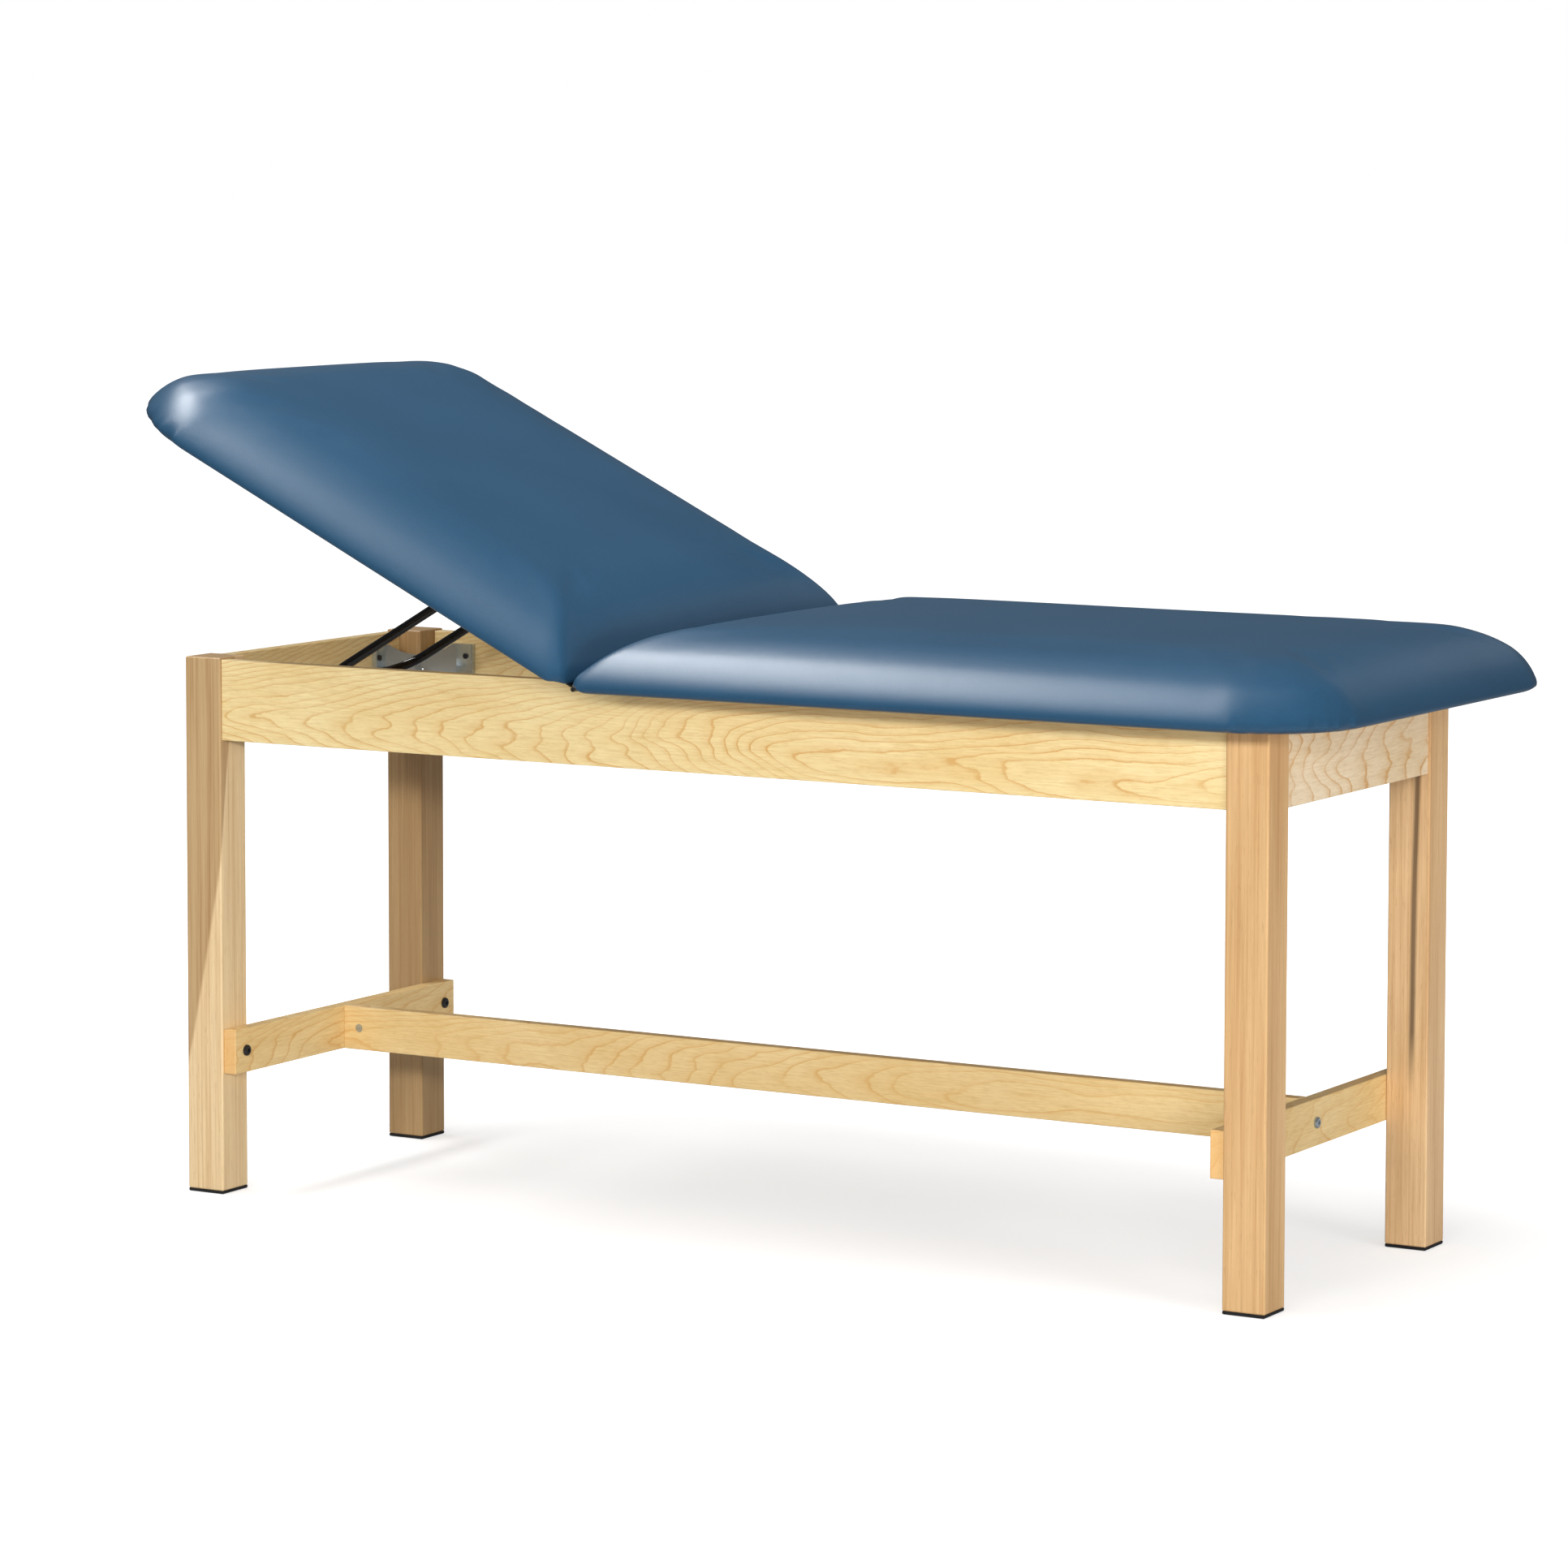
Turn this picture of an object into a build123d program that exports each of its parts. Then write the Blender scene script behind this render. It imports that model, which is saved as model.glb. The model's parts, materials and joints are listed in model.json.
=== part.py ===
from build123d import *
import os
from math import asin, cos, degrees, radians, sin, tan

# Examination couch: a wooden four-leg frame with an H-brace, a fixed padded seat, and a padded
# backrest that lifts about a hinge line and is propped by a U-shaped steel bail over a rack.
# Millimetres. +Z is up, +X points to the foot end, and the origin is on the floor below the
# middle of the couch as it stands with the backrest raised.

os.makedirs("parts", exist_ok=True)

# ---- driving dimensions ----
frame_length = 1600.0
frame_width = 533.4
couch_height = 787.4
top_width = 762.0
seat_length = 1041.4
backrest_length = 787.4
foot_overhang = 112.5
board_thickness = 12.7
foam_thickness = 50.8

leg_size = 57.15
leg_edge_radius = 2.5
foot_pad_thickness = 4.0
foot_pad_inset = 0.6
head_leg_clearance = 0.5

rail_thickness = 19.05
apron_height = 108.0
apron_drop = 3.0
apron_recess = 3.0
brace_rail_height = 59.6
brace_rail_bottom = 163.6
brace_rail_inset = 4.0
board_edge_radius = 1.2

backrest_angle = 26.0
backrest_highest = 50.0
pin_drop = 3.0
pad_end_gap = 2.5
pad_end_slope = tan(radians(backrest_highest / 2)) + 0.014
pad_lip_drop = 5.9
pad_wall = 8.0
pad_corner_radius = 130.0
pad_hinge_corner_radius = 20.0
pad_least_radius = 15.0
pad_side_height = 29.0
pad_crown_height = 76.0
pad_stations = (
    (2.5, -pad_lip_drop),
    (0.0, 3.5 - pad_lip_drop),
    (0.0, pad_side_height),
    (12.0, 42.0),
    (50.0, 61.0),
    (110.0, pad_crown_height),
)
board_setback = 14.0
board_hinge_radius = 40.0

rod_radius = 6.35
bail_half_width = 98.0
bail_arm_length = 335.0
bail_pivot_reach = 305.0
bail_pivot_drop = 7.0
bail_stub = 45.0
bail_corner_radius = 45.0
bail_stub_radius = 15.0
crossbar_height = 682.0

screw_gap = 0.06

# ---- places that follow from them ----
leg_top = couch_height - board_thickness - foam_thickness
hinge_from_head = frame_length + foot_overhang - seat_length
head_x = -(
    frame_length
    + foot_overhang
    + hinge_from_head
    - backrest_length * cos(radians(backrest_angle))
) / 2
foot_x = head_x + frame_length
near_y = -frame_width / 2
hinge_x = head_x + hinge_from_head
hinge_z = leg_top - pin_drop
apron_top = leg_top - apron_drop
apron_inner = apron_recess + rail_thickness
rail_middle = brace_rail_bottom + brace_rail_height / 2
leg_middle_y = frame_width / 2 - leg_size / 2

FACE_PLUS_X = Rot(0, 90, 0)
FACE_MINUS_X = Rot(0, -90, 0)
FACE_PLUS_Y = Rot(-90, 0, 0)
FACE_MINUS_Y = Rot(90, 0, 0)
FACE_DOWN = Rot(180, 0, 0)


def save(node, *solids):
    """Writes one node, as one solid or as a group of separate solids."""
    shape = solids[0] if len(solids) == 1 else Compound(children=list(solids))
    export_step(shape, f"parts/{node}.step")


def solid_of(shape):
    """The one solid that a boolean left."""
    return shape.solids()[0]


def block(x, y, z):
    """A box between two limits along each axis."""
    size = [high - low for low, high in (x, y, z)]
    return Pos((x[0] + x[1]) / 2, (y[0] + y[1]) / 2, (z[0] + z[1]) / 2) * Box(*size)


def plank(x, y, z, holes=()):
    """A planed board with lightly broken edges and any drilled holes."""
    body = block(x, y, z)
    body = fillet(body.edges(), board_edge_radius)
    for hole in holes:
        body = body - hole
    return solid_of(body)


def rod(place, radius, top, bottom):
    """A cylinder along the place's Z axis, from bottom to top."""
    return place * Pos(0, 0, (top + bottom) / 2) * Cylinder(radius, top - bottom)


# ---- fasteners: each is made with its head's underside at Z 0 and its shank downwards ----
dome_share = 0.7
socket_share = 0.6
pan_share = 0.6
cross_slot = 0.8
straight_share = 0.7
screw_tip_radius = 0.4
screw_head_radius = 4.2
screw_head_height = 2.4
bolt_socket_radius = 3.2


def button_bolt(place, shank_radius, length, head_radius, head_height, socket_radius):
    """A domed bolt head with a hexagon socket, on a plain shank."""
    head = Pos(0, 0, head_height / 2) * Cylinder(head_radius, head_height)
    head = fillet(head.edges().group_by(Axis.Z)[-1], head_height * dome_share)
    socket = Pos(0, 0, head_height * (1 - socket_share)) * extrude(
        RegularPolygon(socket_radius, 6), head_height
    )
    shank = Pos(0, 0, -length / 2) * Cylinder(shank_radius, length)
    return place * solid_of(head + shank - socket)


def pan_screw(place, shank_radius, length, head_radius, head_height):
    """A wood screw with a rounded head and a cross slot."""
    head = Pos(0, 0, head_height / 2) * Cylinder(head_radius, head_height)
    head = fillet(head.edges().group_by(Axis.Z)[-1], head_height * pan_share)
    slot_size = head_radius * 1.1
    slot = Pos(0, 0, head_height) * (
        Box(slot_size, cross_slot, head_height) + Box(cross_slot, slot_size, head_height)
    )
    straight = length * straight_share
    shank = Pos(0, 0, -straight / 2) * Cylinder(shank_radius, straight)
    tip = Pos(0, 0, -(straight + length) / 2) * Rot(180, 0, 0) * Cone(
        shank_radius, screw_tip_radius, length - straight
    )
    return place * solid_of(head + shank + tip - slot)


def pilot(place, shank_radius, length):
    """The hole that a screw or bolt of that length stands in."""
    return rod(place, shank_radius + screw_gap, 1.0, -length - 0.5)


# ---- corner positions of the frame ----
ends = {"head": (head_x, 1), "foot": (foot_x, -1)}
sides = {"near": (near_y, 1), "far": (-near_y, -1)}


def corner_place(end, side):
    """Local axes at the meeting of two aprons' inner faces, with +X and +Y into the couch."""
    x, along = ends[end]
    y, across = sides[side]
    turn = {(1, 1): 0, (-1, 1): 90, (-1, -1): 180, (1, -1): 270}[(along, across)]
    return Pos(x + along * apron_inner, y + across * apron_inner, 0) * Rot(0, 0, turn)


# ---- corner braces: pressed steel webs across each corner, drawn tight by a hanger bolt ----
brace_sheet = 2.5
brace_bottom = 633.0
brace_height = 72.0
brace_bend = 72.0
brace_flange = 32.0
brace_rim = 5.0
brace_dip = 15.0
brace_dip_radius = 75.0
brace_screw_radius = 2.0
brace_screw_length = 14.0
brace_screw_heights = (brace_bottom + 17, brace_bottom + brace_height - 17)
hanger_radius = 4.0
hanger_height = brace_bottom + brace_height / 2
hanger_in_leg = 42.0
hanger_out = 24.0
leg_corner = leg_size - apron_inner
web_middle = brace_bend / 2 + brace_sheet * 0.7
diagonal = Pos(web_middle, web_middle, hanger_height) * Rot(0, 0, 45) * Rot(0, 90, 0)
web_to_leg = (web_middle - leg_corner) * 2**0.5
hanger_hole = rod(diagonal, hanger_radius + screw_gap, 0, -web_to_leg - hanger_in_leg)


def brace_screw_places():
    """Where a brace's four wood screws stand, two in each apron, just outside the flange."""
    reach = brace_bend + brace_flange * 0.55
    places = []
    for z in brace_screw_heights:
        places.append(Pos(brace_sheet, reach, z) * FACE_PLUS_X)
        places.append(Pos(reach, brace_sheet, z) * FACE_PLUS_Y)
    return places


def corner_brace():
    """The folded plate in a corner's local axes: rim, flange, diagonal web, flange, rim."""
    end = brace_bend + brace_flange
    half = brace_sheet / 2
    line = Polyline(
        (half + brace_rim, end - half),
        (half, end - half),
        (half, brace_bend + half),
        (brace_bend + half, half),
        (end - half, half),
        (end - half, half + brace_rim),
    )
    plan = offset(line, amount=half, side=Side.BOTH, kind=Kind.INTERSECTION)
    plate = Pos(0, 0, brace_bottom) * extrude(make_face(plan), brace_height)
    for z, way in ((brace_bottom, -1), (brace_bottom + brace_height, 1)):
        centre_z = z + way * (brace_dip_radius - brace_dip)
        scoop = Pos(web_middle, web_middle, centre_z) * Rot(0, 0, 45) * Rot(0, 90, 0)
        plate = plate - scoop * Cylinder(brace_dip_radius, 4 * brace_sheet)
    plate = plate - rod(diagonal, hanger_radius + 0.5, 10, -10)
    for place in brace_screw_places():
        plate = plate - rod(place, brace_screw_radius + 0.2, 1, -brace_sheet - 1)
    return solid_of(plate)


brace = corner_brace()
washer_radius = 9.0
washer_thickness = 1.6
nut_radius = 7.5
nut_height = 6.5
hanger_bolts, hanger_nuts, hanger_washers, brace_screws = [], [], [], []
for end in ends:
    for side in sides:
        corner = corner_place(end, side)
        save(f"corner_brace_{end}_{side}", corner * brace)
        washer_face = brace_sheet / 2
        washer = rod(diagonal, washer_radius, washer_face + washer_thickness, washer_face)
        washer = washer - rod(diagonal, hanger_radius + 0.3, 5, -5)
        nut = extrude(RegularPolygon(nut_radius, 6), nut_height)
        nut = diagonal * Pos(0, 0, washer_face + washer_thickness) * nut
        nut = nut - rod(diagonal, hanger_radius + 0.05, 20, -5)
        shank = rod(diagonal, hanger_radius, hanger_out, -web_to_leg - hanger_in_leg + 1)
        shank = chamfer(shank.edges().group_by(Axis.Z)[-1], 0.8)
        hanger_bolts.append(corner * solid_of(shank))
        hanger_nuts.append(corner * solid_of(nut))
        hanger_washers.append(corner * solid_of(washer))
        for place in brace_screw_places():
            brace_screws.append(
                corner
                * pan_screw(
                    place,
                    brace_screw_radius,
                    brace_screw_length,
                    screw_head_radius,
                    screw_head_height,
                )
            )
save("hanger_bolts", *hanger_bolts)
save("hanger_nuts", *hanger_nuts)
save("hanger_washers", *hanger_washers)
save("brace_screws", *brace_screws)


# ---- H-brace: two cross rails bolted to the legs, and a stretcher bolted between them ----
rail_bolt_radius = 3.9
rail_bolt_length = 60.0
bolt_head_radius = 7.5
bolt_head_height = 4.0
barrel_from_end = 25.0
barrel_radius = 5.75
stretcher_bolt_length = rail_thickness + barrel_from_end + 4.0
rail_faces = {
    "head": (head_x + leg_size, head_x + leg_size + rail_thickness, FACE_PLUS_X),
    "foot": (foot_x - leg_size, foot_x - leg_size - rail_thickness, FACE_MINUS_X),
}
opposite = {"head": FACE_MINUS_X, "foot": FACE_PLUS_X}


def rail_bolt_places(end):
    """The two bolts of one cross rail, heads on the face that looks into the couch."""
    _, inner, facing = rail_faces[end]
    return [Pos(inner, y, rail_middle) * facing for y in (-leg_middle_y, leg_middle_y)]


def stretcher_bolt_place(end):
    """The bolt that goes through a cross rail into the stretcher's end."""
    outer, _, _ = rail_faces[end]
    return Pos(outer, 0, rail_middle) * opposite[end]


barrel_sink = 0.5
driver_slot_size = (1.6, 3.0)
rail_bolts, stretcher_bolts, barrel_nuts, stretcher_holes = [], [], [], []
for end, (outer, inner, _) in rail_faces.items():
    bolt_holes = [
        pilot(place, rail_bolt_radius, rail_bolt_length)
        for place in rail_bolt_places(end)
    ]
    middle_place = stretcher_bolt_place(end)
    middle_hole = pilot(middle_place, rail_bolt_radius, stretcher_bolt_length)
    across = (near_y + brace_rail_inset, -near_y - brace_rail_inset)
    height = (brace_rail_bottom, brace_rail_bottom + brace_rail_height)
    save(
        f"cross_rail_{end}",
        plank(sorted((outer, inner)), across, height, bolt_holes + [middle_hole]),
    )
    for place in rail_bolt_places(end):
        rail_bolts.append(
            button_bolt(
                place,
                rail_bolt_radius,
                rail_bolt_length,
                bolt_head_radius,
                bolt_head_height,
                bolt_socket_radius,
            )
        )
    inward = 1 if end == "head" else -1
    barrel_place = Pos(inner + inward * barrel_from_end, 0, rail_middle) * FACE_MINUS_Y
    half = rail_thickness / 2
    barrel = rod(barrel_place, barrel_radius, half - barrel_sink, barrel_sink - half)
    barrel = barrel - middle_hole
    driver_slot = barrel_place * Pos(0, 0, half) * Box(2 * barrel_radius, *driver_slot_size)
    barrel_nuts.append(solid_of(barrel - driver_slot))
    stretcher_holes.append(rod(barrel_place, barrel_radius + 0.1, half + 1, -half - 1))
    stretcher_holes.append(middle_hole)
    stretcher_bolts.append(
        button_bolt(
            middle_place,
            rail_bolt_radius,
            stretcher_bolt_length,
            bolt_head_radius,
            bolt_head_height,
            bolt_socket_radius,
        )
    )
save("rail_bolts", *rail_bolts)
save("stretcher_bolts", *stretcher_bolts)
save("stretcher_barrel_nuts", *barrel_nuts)
save(
    "stretcher",
    plank(
        (rail_faces["head"][1], rail_faces["foot"][1]),
        (-rail_thickness / 2, rail_thickness / 2),
        (brace_rail_bottom, brace_rail_bottom + brace_rail_height),
        stretcher_holes,
    ),
)


# ---- legs and their foot pads ----
for end, (x, along) in ends.items():
    for side, (y, across) in sides.items():
        top = leg_top - (head_leg_clearance if end == "head" else 0)
        xs = sorted((x, x + along * leg_size))
        ys = sorted((y, y + across * leg_size))
        leg = fillet(block(xs, ys, (foot_pad_thickness, top)).edges(), leg_edge_radius)
        leg = leg - corner_place(end, side) * hanger_hole
        for place in rail_bolt_places(end):
            leg = leg - pilot(place, rail_bolt_radius, rail_bolt_length)
        save(f"leg_{end}_{side}", solid_of(leg))
        inset = foot_pad_inset
        pad = block(
            (xs[0] + inset, xs[1] - inset),
            (ys[0] + inset, ys[1] - inset),
            (0, foot_pad_thickness),
        )
        pad = chamfer(pad.edges().group_by(Axis.Z)[0], 1.0)
        save(f"foot_pad_{end}_{side}", pad)


# ---- the inner rails that carry the rack: a mid cross rail and a lengthwise rack rail ----
mid_rail_x = head_x + 420.0
mid_rail_zone = (apron_top - apron_height, apron_top - 30.0)
rack_rail_zone = (622.0, 652.0)
rack_rail_half = 22.0
dowel_radius = 4.0
dowel_reach = 10.0
apron_inner_y = frame_width / 2 - apron_inner
mid_dowel_heights = (mid_rail_zone[0] + 20, mid_rail_zone[1] - 15)
rack_dowel_height = sum(rack_rail_zone) / 2

dowel_places = []
for y, facing in ((-apron_inner_y, FACE_MINUS_Y), (apron_inner_y, FACE_PLUS_Y)):
    for z in mid_dowel_heights:
        dowel_places.append(Pos(mid_rail_x + rail_thickness / 2, y, z) * facing)
for x in (head_x + apron_inner, mid_rail_x):
    for y in (-12.0, 12.0):
        dowel_places.append(Pos(x, y, rack_dowel_height) * FACE_PLUS_X)
dowels = [rod(place, dowel_radius, dowel_reach, -dowel_reach) for place in dowel_places]
dowel_holes = [
    rod(place, dowel_radius + screw_gap, dowel_reach + 1, -dowel_reach - 1)
    for place in dowel_places
]
save("rail_dowels", *dowels)
save(
    "mid_cross_rail",
    plank(
        (mid_rail_x, mid_rail_x + rail_thickness),
        (-apron_inner_y, apron_inner_y),
        mid_rail_zone,
        dowel_holes,
    ),
)

# ---- the rack: a steel channel with notched walls that the bail's crossbar drops into ----
rack_start = head_x + 45.0
rack_pitch = 32.0
rack_teeth = 9
rack_sheet = 2.5
rack_half = 11.0
rack_tip = crossbar_height - rod_radius - 0.6
rack_valley = rack_tip - 11.0
rack_base = rack_rail_zone[1]
rack_end = rack_start + rack_teeth * rack_pitch


def rack_wall():
    """One notched wall: each notch has a steep face to the foot end and a ramp to the head."""
    outline = [(rack_start, rack_base), (rack_start, rack_tip)]
    for tooth in range(rack_teeth):
        x = rack_start + tooth * rack_pitch
        outline.append((x + 6.0, rack_tip))
        outline.append((x + 12.0, rack_valley))
        outline.append((x + 26.0, rack_valley))
        outline.append((x + rack_pitch, rack_tip))
    outline.append((rack_end + 4.0, rack_tip))
    outline.append((rack_end + 4.0, rack_base))
    face = make_face(Polyline(*outline, close=True))
    return extrude(Plane.XZ * face, rack_sheet)


rack = block(
    (rack_start, rack_end + 4.0), (-rack_half, rack_half), (rack_base, rack_base + rack_sheet)
)
wall = rack_wall()
rack = rack + Pos(0, -rack_half + rack_sheet, 0) * wall + Pos(0, rack_half, 0) * wall
rack_screw_radius = 2.0
rack_screw_length = 18.0
rack_screw_places = [
    Pos(x, 0, rack_base + rack_sheet)
    for x in (rack_start + 20, (rack_start + rack_end) / 2, rack_end - 16)
]
for place in rack_screw_places:
    rack = rack - rod(place, 2.2, 2, -rack_sheet - 1)
save("ratchet_rack", solid_of(rack))
save(
    "rack_screws",
    *[
        pan_screw(
            place, rack_screw_radius, rack_screw_length, screw_head_radius, screw_head_height
        )
        for place in rack_screw_places
    ],
)
rack_pilots = [
    pilot(place, rack_screw_radius, rack_screw_length) for place in rack_screw_places
]
save(
    "rack_rail",
    plank(
        (head_x + apron_inner, mid_rail_x),
        (-rack_rail_half, rack_rail_half),
        rack_rail_zone,
        dowel_holes + rack_pilots,
    ),
)


# ---- seat brackets: small steel angles that hold the seat board down to the aprons ----
bracket_leg = 32.0
bracket_width = 20.0
bracket_sheet = 2.0
bracket_hole_place = 20.8
short_screw_radius = 2.0
short_screw_head = (4.0, 2.2)
short_screw_hole = 2.2
bracket_screw_length = 11.0
bracket_xs = [hinge_x + step for step in (120.0, 430.0, 740.0)]
seat_brackets, bracket_screws, board_pilots, apron_pilots = [], [], [], []
for x in bracket_xs:
    for y, turn in ((-apron_inner_y, 0), (apron_inner_y, 180)):
        place = Pos(x, y, leg_top) * Rot(0, 0, turn)
        zone = (-bracket_width / 2, bracket_width / 2)
        angle = block(zone, (0, bracket_leg), (-bracket_sheet, 0))
        angle = angle + block(zone, (0, bracket_sheet), (-bracket_leg, 0))
        up = Pos(0, bracket_hole_place, -bracket_sheet) * FACE_DOWN
        side = Pos(0, bracket_sheet, -bracket_hole_place) * FACE_PLUS_Y
        for hole in (up, side):
            angle = angle - rod(hole, short_screw_hole, 2, -bracket_sheet - 1)
            screw = pan_screw(hole, short_screw_radius, bracket_screw_length, *short_screw_head)
            bracket_screws.append(place * screw)
        board_pilots.append(place * pilot(up, short_screw_radius, bracket_screw_length))
        apron_pilots.append(place * pilot(side, short_screw_radius, bracket_screw_length))
        seat_brackets.append(place * solid_of(angle))
save("seat_brackets", *seat_brackets)
save("seat_bracket_screws", *bracket_screws)


# ---- aprons: four rails just under the leg tops, set back a little from the legs' faces ----
for end in ends:
    for side in sides:
        corner = corner_place(end, side)
        for place in brace_screw_places():
            apron_pilots.append(
                corner * pilot(place, brace_screw_radius, brace_screw_length)
            )
apron_zone = (apron_top - apron_height, apron_top)
inside_x = (head_x + leg_size, foot_x - leg_size)
inside_y = (near_y + leg_size, -near_y - leg_size)
for side, (y, across) in sides.items():
    ys = sorted((y + across * apron_recess, y + across * apron_inner))
    own = [h for h in apron_pilots + dowel_holes if h.center().Y * y > 0.8 * near_y**2]
    save(f"apron_{side}", plank(inside_x, ys, apron_zone, own))
for end, (x, along) in ends.items():
    xs = sorted((x + along * apron_recess, x + along * apron_inner))
    own = [h for h in apron_pilots + dowel_holes if abs(h.center().X - x) < 30]
    save(f"apron_{end}", plank(xs, inside_y, apron_zone, own))


# ---- pads: local X runs from the hinge line, local Z from the board's underside ----
hinge_half = 30.0
hinge_ys = (-325.0, 0.0, 325.0)
leaf_reach = 36.0
leaf_sheet = 2.0
leaf_start = 4.2
knuckle_radius = 3.25
knuckles = 5
knuckle_gap = 0.3
pin_radius = 1.75
relief_half = 360.0
relief_reach = 60.0


def pad_board(length, holes=()):
    """The plywood board of one pad, with rounded corners."""
    x0 = board_setback
    x1 = length - pad_wall
    half = top_width / 2 - pad_wall
    board = block((x0, x1), (-half, half), (0, board_thickness))
    upright = board.edges().filter_by(Axis.Z).sort_by(Axis.X)
    board = fillet(upright[2:], pad_corner_radius - pad_wall)
    board = fillet(board.edges().filter_by(Axis.Z).sort_by(Axis.X)[:2], board_hinge_radius)
    for hole in holes:
        board = board - hole
    return solid_of(board)


def pad_outline(length, inset, height):
    """The pad's rounded outline at one height: inset from its sides, and raked where pads meet."""
    low = -pad_lip_drop
    start = pad_end_gap + pad_end_slope * (min(height, pad_side_height) - low) + inset
    end = length - inset
    half = top_width / 2 - inset
    corners = Polyline((start, -half), (end, -half), (end, half), (start, half), close=True)
    outline = make_face(corners)
    far = fillet(
        outline.vertices().sort_by(Axis.X)[-2:], max(pad_corner_radius - inset, pad_least_radius)
    )
    both = fillet(
        far.vertices().sort_by(Axis.X)[:2], max(pad_hinge_corner_radius - inset, pad_least_radius)
    )
    return Pos(0, 0, height) * both


def pad_cushion(length):
    """Foam and cover: a crowned pad, rolled over the board's edges and hollow for the board."""
    low = -pad_lip_drop
    pad = loft([pad_outline(length, inset, height) for inset, height in pad_stations], ruled=True)
    pocket = pad_board(length)
    pad = pad - pocket - Pos(0, 0, -board_thickness) * pocket
    pad = pad - block((-1, relief_reach), (-relief_half, relief_half), (low - 1, 0))
    axis = Pos(0, 0, -pin_drop) * FACE_PLUS_Y
    pad = pad - rod(axis, knuckle_radius + 1.5, relief_half, -relief_half)
    return solid_of(pad)


# ---- butt hinges: three under the pads' meeting line ----
leaf_screw_xs = 22.0
leaf_screw_steps = (-20.0, 0.0, 20.0)
leaf_screw_radius = 1.8
leaf_screw_length = 10.0
leaf_screw_head = (3.4, 1.8)
pin_head_thickness = 1.6
knuckle_step = 2 * hinge_half / knuckles


def leaf_screw_places():
    """Where the leaf screws of one pad stand, in the pad's own axes."""
    return [
        Pos(leaf_screw_xs, y + step, -leaf_sheet) * FACE_DOWN
        for y in hinge_ys
        for step in leaf_screw_steps
    ]


def hinge_leaf(y, first):
    """One leaf with every second knuckle, starting from knuckle number first."""
    leaf = block((leaf_start, leaf_reach), (y - hinge_half, y + hinge_half), (-leaf_sheet, 0))
    for number in range(first, knuckles, 2):
        low = y - hinge_half + number * knuckle_step + knuckle_gap / 2
        high = low + knuckle_step - knuckle_gap
        barrel = Pos(0, (low + high) / 2, -pin_drop) * FACE_PLUS_Y * Cylinder(
            knuckle_radius, high - low
        )
        leaf = leaf + barrel + block((0, leaf_start + 1), (low, high), (-leaf_sheet, 0))
    bore = Pos(0, y, -pin_drop) * FACE_PLUS_Y
    leaf = leaf - rod(bore, pin_radius + 0.05, hinge_half + 5, -hinge_half - 5)
    for place in leaf_screw_places():
        leaf = leaf - rod(place, leaf_screw_radius + 0.3, 1, -leaf_sheet - 1)
    return solid_of(leaf)


seat_place = Pos(hinge_x, 0, leg_top)
backrest_place = (
    Pos(hinge_x, 0, hinge_z)
    * Rot(0, backrest_angle, 0)
    * Pos(0, 0, pin_drop)
    * Rot(0, 0, 180)
)
leaf_pilots = [pilot(p, leaf_screw_radius, leaf_screw_length) for p in leaf_screw_places()]
leaf_screws = [
    pan_screw(place, leaf_screw_radius, leaf_screw_length, *leaf_screw_head)
    for place in leaf_screw_places()
]
save("hinge_leaves_seat", *[seat_place * hinge_leaf(y, 0) for y in hinge_ys])
save("hinge_leaves_backrest", *[backrest_place * hinge_leaf(y, 1) for y in hinge_ys])
save("hinge_screws_seat", *[seat_place * screw for screw in leaf_screws])
save("hinge_screws_backrest", *[backrest_place * screw for screw in leaf_screws])
pins = []
for y in hinge_ys:
    line = Pos(hinge_x, y, hinge_z) * FACE_PLUS_Y
    pin = rod(line, pin_radius, hinge_half, -hinge_half)
    head = rod(line, knuckle_radius, hinge_half + pin_head_thickness, hinge_half)
    pins.append(pin + head)
save("hinge_pins", *[solid_of(pin) for pin in pins])

# ---- fixed seat ----
seat_pilots = [Pos(-hinge_x, 0, -leg_top) * hole for hole in board_pilots]
save("seat_board", seat_place * pad_board(seat_length, leaf_pilots + seat_pilots))
save("seat_cushion", seat_place * pad_cushion(seat_length))

# ---- backrest: board, cushion, bail saddles and closing buffers ----
saddle_sheet = 2.5
saddle_screw_length = 12.0
saddle_width = 20.0
saddle_y = bail_half_width + 32.0
saddle_inner = rod_radius + 0.3
saddle_flange = 24.0
saddle_screw_reach = 17.0
buffer_radius = 8.0
buffer_thickness = 2.5
buffer_reach = hinge_from_head - (apron_recess + apron_inner) / 2
buffer_ys = (-150.0, 150.0)


def bail_saddle(y):
    """A bent steel strap that holds one end of the bail against the board."""
    outer = saddle_inner + saddle_sheet
    zone = (y - saddle_width / 2, y + saddle_width / 2)
    x, z = bail_pivot_reach, -bail_pivot_drop
    axis = Pos(x, y, z) * FACE_PLUS_Y
    strap = axis * Cylinder(outer, saddle_width)
    strap = strap + block((x - outer, x + outer), zone, (z, 0))
    strap = strap + block((x - saddle_flange, x + saddle_flange), zone, (-saddle_sheet, 0))
    strap = strap - axis * Cylinder(saddle_inner, 2 * saddle_width)
    hollow = (y - saddle_width, y + saddle_width)
    strap = strap - block((x - saddle_inner, x + saddle_inner), hollow, (z, 1))
    for way in (-1, 1):
        place = Pos(x + way * saddle_screw_reach, y, -saddle_sheet)
        strap = strap - rod(place, short_screw_hole, 5, -5)
    return solid_of(strap)


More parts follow.
